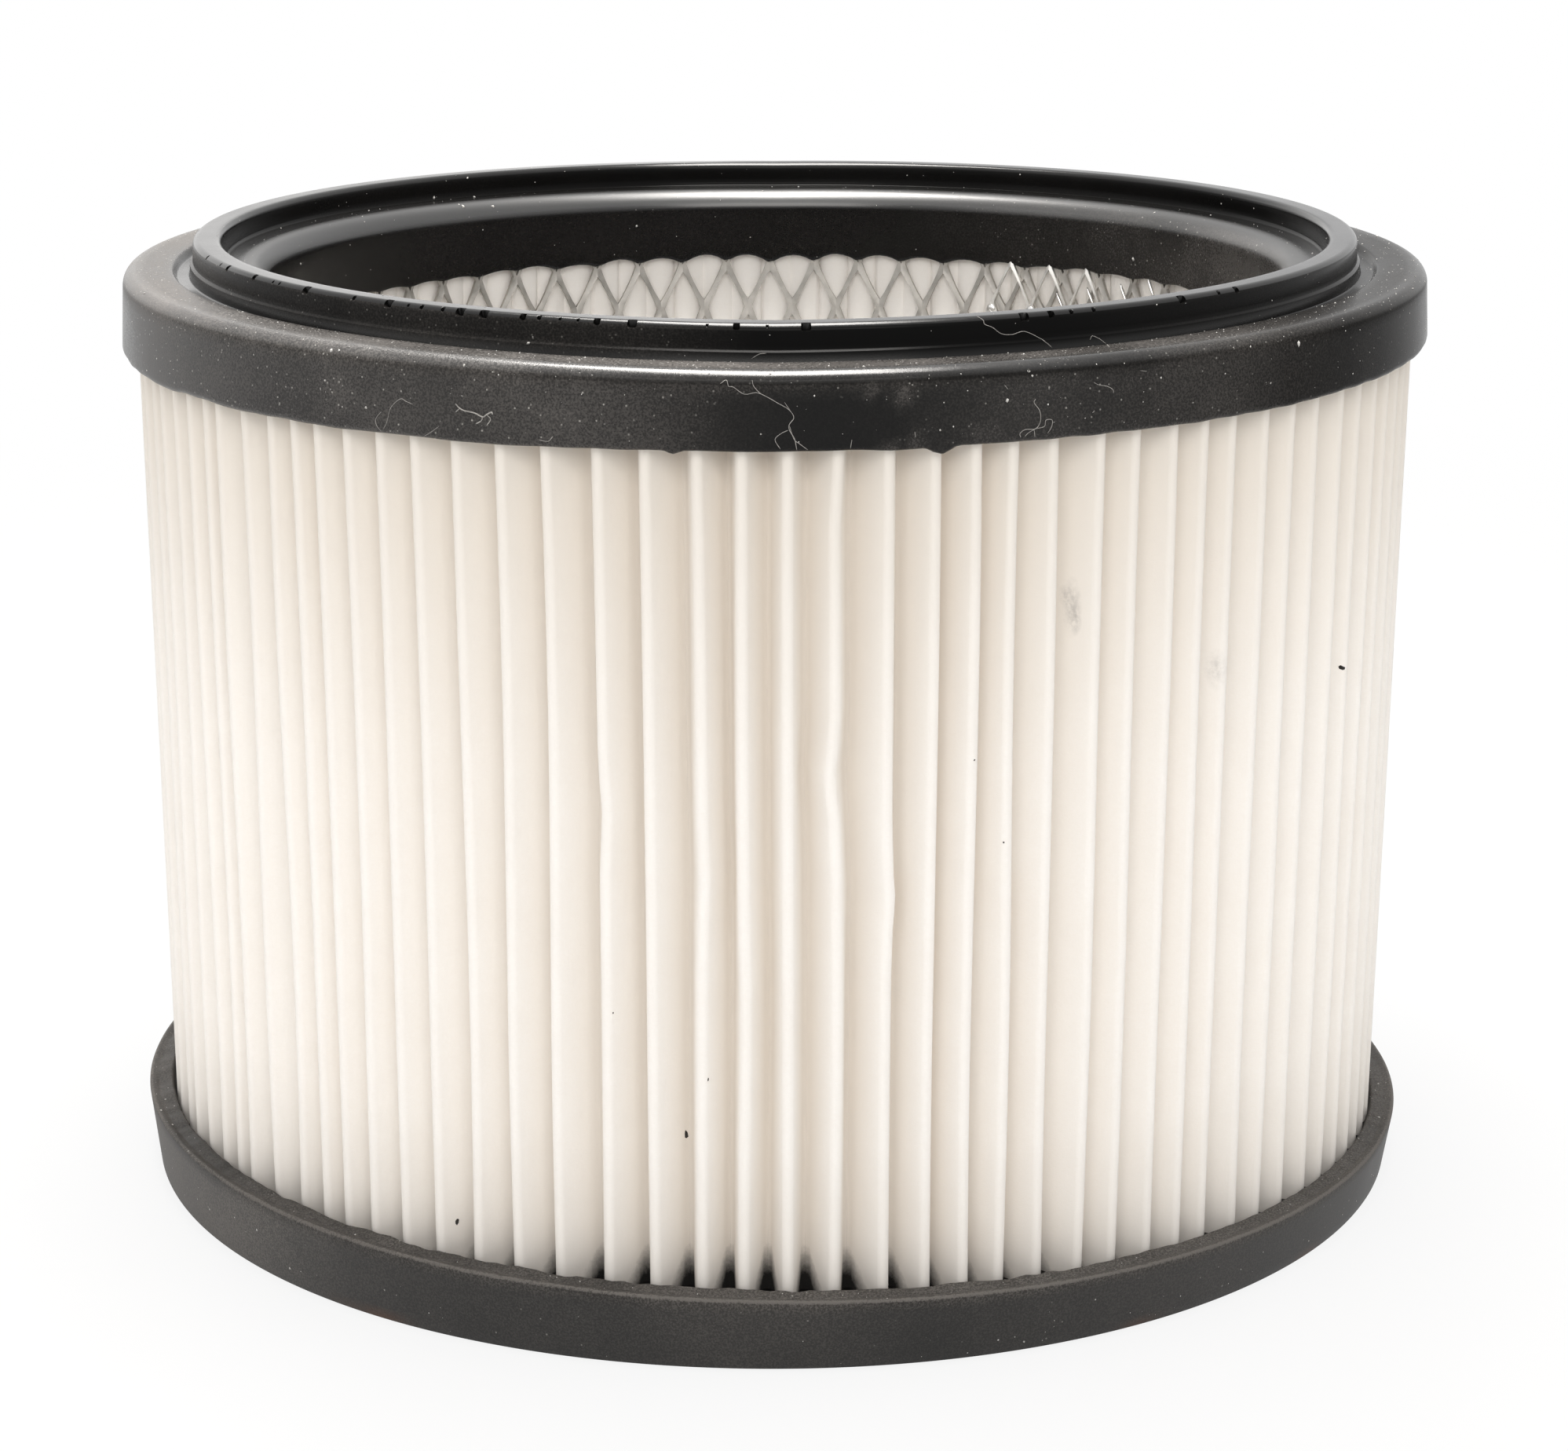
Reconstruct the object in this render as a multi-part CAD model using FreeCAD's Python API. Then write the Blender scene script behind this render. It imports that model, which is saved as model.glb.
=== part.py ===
import FreeCAD, Part
import math
import os

# A pleated cartridge filter: a folded sheet of media and an expanded-metal cage,
# held between two moulded end caps. Millimetres, axis on Z, base on z = 0, front towards -Y.

# Heights
BOTTOM_CAP_THICKNESS = 10.4
EXPOSED_PLEAT_HEIGHT = 111.1
TOP_CAP_THICKNESS = 9.9

# Bore through both caps
BORE_RADIUS = 72.0
BORE_EDGE_CHAMFER = 1.5

# Expanded-metal cage, rolled from a flat sheet and lapped over itself by one mesh column
CAGE_SETBACK = 0.1
CAGE_SHEET = 0.6
CAGE_COLUMNS = 17
CAGE_ROWS = 7
CAGE_STRAND = 2.2
CAGE_LAP_ANGLE = 53.0

# Folded sheet of media
PLEAT_COUNT = 100
PLEAT_DEPTH = 16.8
PLEAT_CLEARANCE = 0.1
MEDIA_THICKNESS = 0.7
NOSE_WIDTH = 2.8
NOSE_CHAMFER = 0.6
ROOT_WIDTH = 2.2
BOTTOM_DRAW_IN = 1.2

# Glued joint between the two ends of the sheet
SEAM_ANGLE = 205.0
GLUE_DEPTH = 7.0

# Top cap: outer wall, flange, groove, seal bead and inner ledge
TOP_LIP = 2.2
TOP_WALL_DRAFT = 0.5
FLANGE_EDGE_CHAMFER = 1.2
LEDGE_WIDTH = 4.9
LEDGE_RISE = 0.5
BEAD_WIDTH = 4.0
BEAD_HEIGHT = 4.2
BEAD_CHAMFER = 0.7
GROOVE_WIDTH = 3.0
GROOVE_DEPTH = 1.0

# Bottom cap: drafted wall and dished lip round the pleats
BOTTOM_LIP = 3.9
BOTTOM_WALL_DRAFT = 1.4
RIM_DROP = 0.1
LIP_DIP = 0.5

# Levels and radii that follow from the sizes above
FACET_TURN = math.pi / CAGE_COLUMNS
MEDIA_BOTTOM = BOTTOM_CAP_THICKNESS
MEDIA_TOP = MEDIA_BOTTOM + EXPOSED_PLEAT_HEIGHT
FLANGE_TOP = MEDIA_TOP + TOP_CAP_THICKNESS
LAP_FLAT = BORE_RADIUS + CAGE_SETBACK
CAGE_INNER_FLAT = LAP_FLAT + CAGE_SHEET
CAGE_OUTER_FLAT = CAGE_INNER_FLAT + CAGE_SHEET
ROOT_RADIUS = CAGE_OUTER_FLAT / math.cos(FACET_TURN / 2) + PLEAT_CLEARANCE
TIP_TOP = ROOT_RADIUS + PLEAT_DEPTH
TIP_BOTTOM = TIP_TOP - BOTTOM_DRAW_IN
PITCH = 2 * math.pi / PLEAT_COUNT
FIRST_PLEAT = math.radians(SEAM_ANGLE) + PITCH / 2
LAST_PLEAT = FIRST_PLEAT - PITCH
NOSE_HALF = NOSE_WIDTH / 2
ROOT_HALF = ROOT_WIDTH / 2
GAP_HALF = ROOT_HALF - MEDIA_THICKNESS
GLUE_EDGE = ROOT_RADIUS + GLUE_DEPTH


def closed_wire(points):
    """Closed polygon through the points."""
    return Part.makePolygon(points + points[:1])


def turned(outline):
    """Revolve a closed outline of (radius, height) points about Z."""
    points = [FreeCAD.Vector(radius, 0, height) for radius, height in outline]
    section = Part.Face(closed_wire(points))
    return section.revolve(FreeCAD.Vector(0, 0, 0), FreeCAD.Vector(0, 0, 1), 360)


def top_end_cap():
    """Ring with a flange, a groove, a raised seal bead and a ledge that falls into the bore."""
    wall_low = TIP_TOP + TOP_LIP
    wall_high = wall_low - TOP_WALL_DRAFT
    ledge_inner = BORE_RADIUS + BORE_EDGE_CHAMFER
    bead_inner = ledge_inner + LEDGE_WIDTH
    bead_outer = bead_inner + BEAD_WIDTH
    crest = FLANGE_TOP + BEAD_HEIGHT
    return turned([
        (BORE_RADIUS, MEDIA_TOP),
        (wall_low, MEDIA_TOP),
        (wall_high, FLANGE_TOP - FLANGE_EDGE_CHAMFER),
        (wall_high - FLANGE_EDGE_CHAMFER, FLANGE_TOP),
        (bead_outer + GROOVE_WIDTH, FLANGE_TOP),
        (bead_outer, FLANGE_TOP - GROOVE_DEPTH),
        (bead_outer, crest - BEAD_CHAMFER),
        (bead_outer - BEAD_CHAMFER, crest),
        (bead_inner + BEAD_CHAMFER, crest),
        (bead_inner, crest - BEAD_CHAMFER),
        (bead_inner, FLANGE_TOP + LEDGE_RISE),
        (ledge_inner, FLANGE_TOP),
        (BORE_RADIUS, FLANGE_TOP - BORE_EDGE_CHAMFER),
    ])


def bottom_end_cap():
    """Flat ring with a sharp base edge, a wall that widens upwards and a dished lip round the pleats."""
    rim = TIP_BOTTOM + BOTTOM_LIP
    return turned([
        (BORE_RADIUS, 0),
        (rim - BOTTOM_WALL_DRAFT, 0),
        (rim, BOTTOM_CAP_THICKNESS - RIM_DROP),
        ((rim + TIP_TOP) / 2, BOTTOM_CAP_THICKNESS - LIP_DIP),
        (TIP_TOP, BOTTOM_CAP_THICKNESS),
        (BORE_RADIUS, BOTTOM_CAP_THICKNESS),
    ])


def at(angle, along, across, height):
    """Point at a distance along a radial line and another across it."""
    return FreeCAD.Vector(
        along * math.cos(angle) - across * math.sin(angle),
        along * math.sin(angle) + across * math.cos(angle),
        height,
    )


def flank_line(nose, fold):
    """Width from a pleat's middle plane as a function of radius, from its nose to the next fold."""
    half = PITCH / 2
    far_along = fold[0] * math.cos(half) + fold[1] * math.sin(half)
    far_across = fold[0] * math.sin(half) - fold[1] * math.cos(half)
    slope = (far_across - nose[1]) / (far_along - nose[0])
    return lambda along: nose[1] + slope * (along - nose[0])


outer_flank = flank_line((TIP_TOP, NOSE_HALF), (ROOT_RADIUS + MEDIA_THICKNESS, GAP_HALF))
inner_flank = flank_line((TIP_TOP - MEDIA_THICKNESS, NOSE_HALF - MEDIA_THICKNESS), (ROOT_RADIUS, ROOT_HALF))


def sheet_outline(tip, height):
    """Corners of the folded sheet: along its outer surface, and back along its inner one."""
    shoulder = tip - NOSE_CHAMFER
    inside = tip - MEDIA_THICKNESS
    crown = outer_flank(tip) - NOSE_CHAMFER
    outer = [at(FIRST_PLEAT, ROOT_RADIUS, -outer_flank(ROOT_RADIUS), height)]
    inner = [at(FIRST_PLEAT, ROOT_RADIUS, -inner_flank(ROOT_RADIUS), height)]
    for pleat in range(PLEAT_COUNT):
        middle = FIRST_PLEAT + pleat * PITCH
        fold = middle + PITCH / 2
        outer += [
            at(middle, shoulder, -outer_flank(shoulder), height),
            at(middle, tip, -crown, height),
            at(middle, tip, crown, height),
            at(middle, shoulder, outer_flank(shoulder), height),
        ]
        inner += [
            at(middle, inside, -inner_flank(inside), height),
            at(middle, inside, inner_flank(inside), height),
        ]
        if pleat < PLEAT_COUNT - 1:
            for side in (-1, 1):
                outer.append(at(fold, ROOT_RADIUS + MEDIA_THICKNESS, side * GAP_HALF, height))
                inner.append(at(fold, ROOT_RADIUS, side * ROOT_HALF, height))
    outer.append(at(LAST_PLEAT, ROOT_RADIUS, outer_flank(ROOT_RADIUS), height))
    inner.append(at(LAST_PLEAT, ROOT_RADIUS, inner_flank(ROOT_RADIUS), height))
    return outer + inner[::-1]


def pleated_media():
    """One sheet in even folds, drawn in a little at the bottom, with its two ends at the seam."""
    bottom = sheet_outline(TIP_BOTTOM, MEDIA_BOTTOM)
    top = sheet_outline(TIP_TOP, MEDIA_TOP)
    faces = [Part.Face(closed_wire(bottom)), Part.Face(closed_wire(top))]
    for corner in range(len(bottom)):
        side = [bottom[corner - 1], bottom[corner], top[corner], top[corner - 1]]
        faces.append(Part.Face(closed_wire(side)))
    return Part.Solid(Part.Shell(faces))


def side_seam_glue():
    """Strip that fills the narrow gap between the two ends of the sheet."""
    outline = [
        at(FIRST_PLEAT, ROOT_RADIUS, -outer_flank(ROOT_RADIUS), MEDIA_BOTTOM),
        at(FIRST_PLEAT, GLUE_EDGE, -outer_flank(GLUE_EDGE), MEDIA_BOTTOM),
        at(LAST_PLEAT, GLUE_EDGE, outer_flank(GLUE_EDGE), MEDIA_BOTTOM),
        at(LAST_PLEAT, ROOT_RADIUS, outer_flank(ROOT_RADIUS), MEDIA_BOTTOM),
    ]
    return Part.Face(closed_wire(outline)).extrude(FreeCAD.Vector(0, 0, EXPOSED_PLEAT_HEIGHT))


def cage_wall(inner_flat, first_line, last_line):
    """Upright sheet between two mesh lines, bent at each line and flat between them."""
    bend = math.cos(FACET_TURN / 2)
    lines = [line * FACET_TURN for line in range(first_line, last_line + 1)]
    outside = [at(angle, (inner_flat + CAGE_SHEET) / bend, 0, MEDIA_BOTTOM) for angle in lines]
    inside = [at(angle, inner_flat / bend, 0, MEDIA_BOTTOM) for angle in lines]
    if last_line - first_line == 2 * CAGE_COLUMNS:
        section = Part.Face(closed_wire(outside[:-1])).cut(Part.Face(closed_wire(inside[:-1])))
    else:
        section = Part.Face(closed_wire(outside + inside[::-1]))
    return section.extrude(FreeCAD.Vector(0, 0, EXPOSED_PLEAT_HEIGHT))


def diamond(angle, height, half_width, half_height):
    """Radial prism with a diamond section that cuts one mesh opening through the cage wall."""
    start = LAP_FLAT * math.cos(FACET_TURN) - CAGE_SHEET
    reach = FreeCAD.Vector(math.cos(angle), math.sin(angle), 0) * (ROOT_RADIUS - start)
    corners = [
        at(angle, start, half_width, height),
        at(angle, start, 0, height + half_height),
        at(angle, start, -half_width, height),
        at(angle, start, 0, height - half_height),
    ]
    return Part.Face(closed_wire(corners)).extrude(reach)


def support_cage():
    """Tube of expanded metal: staggered diamonds, cut off at both ends, doubled along the lap."""
    row_pitch = EXPOSED_PLEAT_HEIGHT / (CAGE_ROWS - 1)
    column_half = CAGE_INNER_FLAT * math.sin(FACET_TURN)
    strand_inset = CAGE_STRAND / 2 * math.hypot(row_pitch, column_half) / (row_pitch * column_half)
    opening = 1 - strand_inset
    lap_line = round(math.radians(CAGE_LAP_ANGLE) / FACET_TURN)
    tube = cage_wall(CAGE_INNER_FLAT, 0, 2 * CAGE_COLUMNS)
    lap = cage_wall(LAP_FLAT, lap_line - 1, lap_line + 1)
    holes = []
    for row in range(CAGE_ROWS):
        for column in range(CAGE_COLUMNS):
            angle = (2 * column + row % 2) * FACET_TURN
            height = MEDIA_BOTTOM + row * row_pitch
            holes.append(diamond(angle, height, opening * column_half, opening * row_pitch))
    return tube.fuse(lap).removeSplitter().cut(holes)


os.makedirs("parts", exist_ok=True)
for make in (top_end_cap, bottom_end_cap, pleated_media, side_seam_glue, support_cage):
    make().exportStep(os.path.join("parts", make.__name__ + ".step"))
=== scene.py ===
import math

import bpy
import numpy as np
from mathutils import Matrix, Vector
from mathutils.bvhtree import BVHTree
from numpy.linalg import norm


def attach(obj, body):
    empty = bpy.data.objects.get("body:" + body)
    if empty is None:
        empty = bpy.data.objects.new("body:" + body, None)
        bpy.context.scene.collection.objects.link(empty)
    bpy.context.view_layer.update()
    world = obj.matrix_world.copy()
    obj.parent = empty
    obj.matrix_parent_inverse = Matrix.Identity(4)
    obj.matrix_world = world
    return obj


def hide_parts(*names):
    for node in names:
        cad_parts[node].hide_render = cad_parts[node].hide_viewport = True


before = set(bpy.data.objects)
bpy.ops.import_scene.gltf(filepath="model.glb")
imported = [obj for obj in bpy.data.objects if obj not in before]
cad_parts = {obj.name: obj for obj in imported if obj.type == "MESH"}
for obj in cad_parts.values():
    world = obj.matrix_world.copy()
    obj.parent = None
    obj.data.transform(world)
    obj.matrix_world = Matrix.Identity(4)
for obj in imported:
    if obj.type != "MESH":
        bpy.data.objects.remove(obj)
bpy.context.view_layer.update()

# Lengths are in millimetres and become metres where a mesh is made.
# A bearing is an angle about the upright axis: 0 faces the camera, positive to its right.
MM = 0.001
TURN = 2 * math.pi

# Camera: the photograph's frame and the view fitted to it
PHOTO_WIDTH = 1997
PHOTO_HEIGHT = 1848
FOCAL_PIXELS = 4929.9
AXIS_COLUMN = 983.4
CAMERA_DISTANCE = 572.75
CAMERA_PITCH = 0.2659
AIM_HEIGHT = 61.25
SENSOR_WIDTH = 36.0

# Heights and radii shared with the solids
MEDIA_BOTTOM = 10.4
MEDIA_TOP = 121.5
FLANGE_TOP = 131.4
CREST = 135.6
BORE_RADIUS = 72.0
WALL_RADIUS = 92.7

# The top cap of the pictured filter leans: its left side is lower and it sits a little to the right
LEAN_DROP = 1.75
LEAN_SHIFT = 0.35

# That cap is thicker at the left, so its upper side leans less than its lower edge
CAP_SWELL = 1.6

# The upper edge of its bottom cap slopes the other way: rise per millimetre left and right of the axis
LIP_SLOPES = (-0.0145, -0.0215)
LIP_HEIGHT = 10.3

# Rounded sections: radius, height, corner round, steps round the corner, steps along the run after it
TOP_CAP_SECTION = (
    (WALL_RADIUS, MEDIA_TOP, 0.8, 4, 7),
    (92.2, FLANGE_TOP, 1.9, 11, 4),
    (85.4, FLANGE_TOP, 0.5, 3, 2),
    (84.7, 130.4, 0.4, 3, 2),
    (82.95, 130.4, 0.25, 2, 1),
    (82.9, 132.1, 0.12, 2, 1),
    (82.5, 132.35, 0.1, 2, 4),
    (82.4, CREST, 1.0, 14, 3),
    (78.4, CREST, 1.0, 6, 3),
    (78.3, 131.9, 0.6, 3, 2),
    (BORE_RADIUS, FLANGE_TOP + 0.4, 3.0, 12, 4),
    (BORE_RADIUS, MEDIA_TOP, 0.5, 3, 4),
)
PINHOLE_CORNER = 7
BOTTOM_CAP_SECTION = (
    (91.8, 0.0, 0.2, 2, 6),
    (93.15, 10.3, 0.4, 5, 2),
    (91.7, 9.85, 0.7, 4, 3),
    (89.75, 10.35, 0.3, 3, 2),
    (89.0, 7.8, 0.3, 2, 3),
    (83.0, 7.8, 0.0, 0, 3),
    (79.0, MEDIA_BOTTOM, 0.0, 0, 2),
    (BORE_RADIUS, MEDIA_BOTTOM, 0.4, 3, 3),
    (BORE_RADIUS, 0.0, 1.4, 5, 6),
)
BOTTOM_STEPS = 700

# Dust and glare round the top cap: bearings in degrees and strengths
WALL_DUST = (
    (-180, -70, -45, -12, -8, -3, 2, 9, 13, 18, 30, 45, 90, 180),
    (0.42, 0.42, 0.55, 0.44, 0.27, 0.06, 0.02, 0.03, 0.16, 0.36, 0.36, 0.14, 0.15, 0.42),
)
FLANGE_DUST = (
    (-180, -100, -45, -20, 20, 45, 100, 180),
    (0.6, 0.95, 0.95, 0.9, 0.8, 0.2, 0.12, 0.6),
)
BEAD_DUST = (
    (-180, -100, -50, -12, -2, 25, 60, 180),
    (0.05, 0.25, 0.22, 0.16, -0.02, -0.02, 0.05, 0.05),
)
CAP_GLARE = (
    (-180, -90, -15, -6, 10, 20, 45, 100, 180),
    (1, 1, 1, 0.6, 0.6, 0.8, 0.12, 0.08, 1),
)

# Pale smears on its wall: photo column and row, half width, half height, strength
SMEARS = (
    (1105, 490, 0.8, 1.0, 0.5), (1148, 495, 1.1, 1.2, 0.6), (1130, 564, 1.0, 0.8, 0.45),
    (1164, 556, 0.9, 1.0, 0.45), (1250, 545, 2.0, 1.0, 0.2), (700, 520, 3.0, 1.5, 0.15),
    (420, 480, 3.0, 2.0, 0.2),
)

# Pinholes along the outer edge of the seal bead: photo column and width
PINHOLES = (
    (264, 0.45), (281, 0.3), (290, 0.7), (324, 0.7), (348, 0.3), (356, 0.3), (390, 1.0), (451, 0.45),
    (495, 1.0), (520, 0.3), (537, 0.45), (564, 0.45), (586, 1.0), (616, 1.0), (666, 0.7), (687, 0.45),
    (713, 0.3), (736, 0.3), (760, 0.7), (805, 1.0), (901, 0.3), (938, 0.7), (977, 0.3), (1027, 1.0),
    (1304, 1.0), (1339, 0.7), (1364, 0.45), (1393, 0.45), (1505, 1.0), (1552, 0.45), (1574, 0.7),
)
HIDDEN_PINHOLES = 14
HIDDEN_BEARINGS = (85, 275)
HIDDEN_SIZES = (0.35, 0.45, 0.7)

# Half width, half height and depth of a pinhole for each millimetre of its width in the photo
HOLE_WIDTH = 0.62
HOLE_HEIGHT = 0.75
HOLE_DEPTH = 1.5

# Mesh columns: even ones, and close ones across each pinhole and drip, as shares of its width
STEPS_PER_OPENING = 7
CLOSE_COLUMNS = np.array([-0.76, -0.62, -0.55, -0.4, 0, 0.4, 0.55, 0.62, 0.76])

# Drips under the top cap, and a broad swell: bearing in degrees, width, drop
DRIPS = ((-7.7, 1.9, 0.4), (12.7, 3.2, 0.95))
SWELL = (9.6, 6.0, 0.25)

# Arches of polyurethane that crept down the cage: depth, its mean share, share left at the front
ARCH_DEPTH = 1.35
ARCH_MEAN = 0.31
ARCH_LEFT = 0.3

# Pleats: columns of the fold crests along one row of the photo, the rest are spread evenly
PLEAT_COUNT = 100
PLEAT_ROW = 1190
CREST_COLUMNS = (
    276, 293, 311, 340, 372, 402, 430, 466, 506, 549, 599, 653, 707, 771, 831, 893, 948, 1005,
    1066, 1129, 1185, 1234, 1281, 1331, 1385, 1429, 1474, 1512, 1547, 1585, 1617, 1646, 1675,
)
CREST_SPREAD = 1.006
CREST_SHIFT = -1.5
TIP_BOTTOM = 89.3
TIP_TOP = 90.5
ROOT_RADIUS = 73.7
MEDIA_THICKNESS = 0.7
SEAM_BEARING = -65.0
GLUE_SHRINK = (0.97, 0.97, 1.0)

# Section of a fold: half widths, depths below its tip, gap between roots, their depth, and mesh steps
NOSE_HALF = 0.85
SHOULDER_DEPTH = 5.6
SHOULDER_HALF = 0.5
NECK_DEPTH = 5.68
NECK_HALF = 0.005
ROOT_GAP = -0.06
ROOT_DEPTH = 0.2
NOSE_STEPS = 6
ROOT_STEPS = 4

# Unevenness of the folds: angles in radians, and the share of the height where drift starts
HIDDEN_JITTER = math.radians(0.2)
FOLD_SWAY = 0.0014
TOP_DRIFT = 0.008
DRIFT_START = 0.4
TIP_JITTER = 0.1
VALLEY_JITTER = 0.0015

# Valleys lean to the front; the lean changes sides within this many radians
VALLEY_LEAN = 0.009
LEAN_TURNS = 0.07

# Mesh rows of the folds: close at the bottom cap's lip, even above it, close under the top cap that pots them
FOOT_ROWS = (-4.8, -2.4, -1.0, 0.2, 1.3, 2.5, 3.8, 5.2)
FOOT_HEIGHT = 7.0
EVEN_ROWS = 10
HEAD_ROWS = (0.4, 2.0)
POTTED = 1.0

# Kinks of single folds: photo column and row, sideways shift, half length along the fold
KINKS = (
    (1064, 990, -0.8, 5.0), (1123, 1145, 0.5, 4.0), (772, 1030, 0.4, 4.0), (885, 1120, 0.3, 6.0),
    (1060, 700, -0.4, 9.0), (945, 1300, 0.3, 10.0),
)
KINK_DENT = 0.3
SHARP_KINKS = 2
KINK_ROWS = (-1, -0.4, 0.15, 0.8)

# Grey smudges on the pleats: photo column and row, half width, half height, strength
SMUDGES = (
    (1366, 776, 0.8, 2.6, 0.5), (1371, 792, 0.45, 1.3, 0.4), (1358, 764, 0.6, 1.0, 0.4),
    (1548, 850, 1.0, 1.9, 0.35),
)
SMUDGE_RADIUS = 88.5
SMUDGE_REACH = 5.0

# Expanded metal of the cage; its openings are slightly bowed diamonds that fill a share of their cell
CAGE_COLUMNS = 64
CAGE_RADIUS = 72.95
CELL_HEIGHT = 14.5
CAGE_LIFT = -3.05
CAGE_TURN = 0.009
CAGE_TOP = 129.0
OPENING_SHARE = 0.83
OPENING_POWER = 1.12
STRAND_THICKNESS = 0.5
STRAND_TILT = 0.22

# Lap of the cage: bearings in degrees, radius, shift in columns, lift
LAP_FIRST = 134.0
LAP_LAST = 154.0
LAP_RADIUS = 72.35
LAP_SHIFT = 0.4
LAP_LIFT = 1.9

# Bright weld nuggets, and bright streaks that are painted highlights on the lap's strands, on the far wall as
# photo pixels; nuggets repeat down the lap
WELD_PIXELS = ((1260, 389), (1310, 392))
WELD_ROWS = 7
STREAK_PIXELS = ((1348, 380), (1387, 375), (1429, 371), (1464, 364))

# Their half length, half width and tilt, and the rings of their domes as shares of width and rise
NUGGET = (0.85, 0.85, 0.0)
STREAK = (1.7, 0.24, math.radians(62))
DOME_RINGS = ((1.0, 0.0), (0.85, 0.55), (0.5, 0.9))
DOME_RISE = 0.4
DOME_GAP = 0.05

# Lint on the top cap: fibre width and its path in photo pixels
LINT_PATHS = (
    (0.19, ((580, 514), (586, 520), (592, 523), (605, 526), (615, 531), (620, 528), (626, 525), (628, 528))),
    (0.14, ((615, 531), (613, 536), (606, 540))),
    (0.14, ((620, 528), (625, 534), (620, 542))),
    (0.14, ((586, 520), (580, 525))),
    (0.07, ((489, 553), (480, 542), (479, 533), (486, 524))),
    (0.07, ((488, 547), (493, 537), (498, 519), (510, 508), (517, 511), (526, 515))),
    (0.07, ((537, 557), (548, 551), (559, 543))),
    (0.09, ((686, 560), (698, 562), (704, 556))),
    (0.08, ((917, 489), (925, 484), (928, 492), (934, 493), (948, 502), (963, 500), (974, 504), (990, 513),
            (1005, 522), (1011, 532), (1005, 541), (1006, 549), (1012, 559), (1015, 574))),
    (0.07, ((958, 484), (960, 492), (968, 501))),
    (0.07, ((999, 512), (1007, 524))),
    (0.07, ((1004, 548), (995, 552), (987, 560), (994, 572))),
    (0.07, ((1005, 541), (1011, 559), (1018, 565), (1029, 573))),
    (0.07, ((1085, 560), (1083, 571))),
    (0.07, ((1165, 550), (1166, 557))),
    (0.07, ((957, 457), (967, 451), (976, 450))),
    (0.09, ((1244, 403), (1252, 408), (1254, 413), (1264, 417), (1275, 425), (1289, 426), (1302, 422),
            (1313, 425), (1326, 432), (1333, 437), (1340, 443))),
    (0.09, ((1388, 433), (1391, 428), (1399, 431), (1407, 437), (1413, 442))),
    (0.08, ((1319, 508), (1317, 513), (1324, 523), (1325, 536), (1319, 546), (1306, 547), (1299, 552),
            (1300, 557))),
    (0.07, ((1319, 546), (1330, 543), (1332, 535), (1340, 535), (1339, 544), (1334, 552))),
    (0.07, ((1317, 547), (1318, 557))),
    (0.07, ((1305, 556), (1310, 551), (1319, 546))),
    (0.07, ((1393, 487), (1399, 490), (1410, 492), (1417, 496), (1418, 501))),
    (0.07, ((1452, 472), (1461, 473))),
    (0.07, ((1279, 490), (1284, 496))),
    (0.07, ((1391, 526), (1394, 523))),
)

# Specks: photo column and row, size, stretch and its lean to the right in degrees
LEDGE_SPECKS = (
    (553, 252, 0.28, 1.0, 0), (590, 263, 0.32, 1.2, 0), (604, 251, 0.25, 1.0, 0), (628, 263, 0.32, 1.0, 0),
    (1443, 330, 0.3, 1.0, 0), (1654, 438, 0.3, 1.2, 0), (422, 446, 0.24, 1.0, 0), (673, 437, 0.22, 1.0, 0),
    (466, 519, 0.22, 1.0, 0), (1283, 510, 0.24, 1.0, 0),
)
PLEAT_SPECKS = (
    (874, 1445, 0.27, 2.4, -8), (582, 1556, 0.4, 1.3, 0), (902, 1375, 0.16, 1.5, 0),
    (1709, 851, 0.28, 2.2, 115), (1241, 968, 0.14, 1.0, 0), (1278, 1073, 0.14, 1.0, 0),
    (781, 1290, 0.12, 1.2, 0),
)

# Loose dust grains: count on each cap, middle size, its spread and limits, how far they stray
TOP_GRAINS = 2300
BOTTOM_GRAINS = 500
GRAIN_SIZE = 0.055
GRAIN_SPREAD = 0.5
GRAIN_LIMITS = (0.025, 0.2)
GRAIN_STRAY = 0.4

# Rust-brown stains along the base: photo column and row, half width, half height, strength
STAINS = (
    (450, 1664, 5.0, 0.5, 0.4), (482, 1676, 4.0, 0.5, 0.45), (1668, 1596, 3.0, 0.5, 0.3),
    (1454, 1685, 3.0, 0.5, 0.3),
)
STAIN_RADIUS = 92.4

# Colours of the caps' dirt and of the media, and of the painted shade and shadow on the media
PALE_GRAIN = (0.34, 0.33, 0.31, 1)
RUST = (0.16, 0.055, 0.012, 1)
CREAM = (0.965, 0.938, 0.905, 1)
PALE_CREAM = (0.98, 0.958, 0.93, 1)
FELT_SHADE = (0.78, 0.70, 0.60, 1)
# Colour of the painted shade under the top cap and near the foot of the pleats
CAP_SHADE_COLOUR = (0.875, 0.83, 0.77, 1)
# Colour of the painted shade in the valleys
VALLEY_SHADE = (0.775, 0.725, 0.665, 1)
# Colour of the painted shade at the foot of the pleats
FOOT_SHADE = (0.30, 0.285, 0.28, 1)
SMUDGE = (0.30, 0.29, 0.285, 1)
# Colour of the soaked foot and of the painted shadow in the valleys above it
SOAKED_AND_SHADOW = (0.022, 0.021, 0.02, 1)

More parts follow.
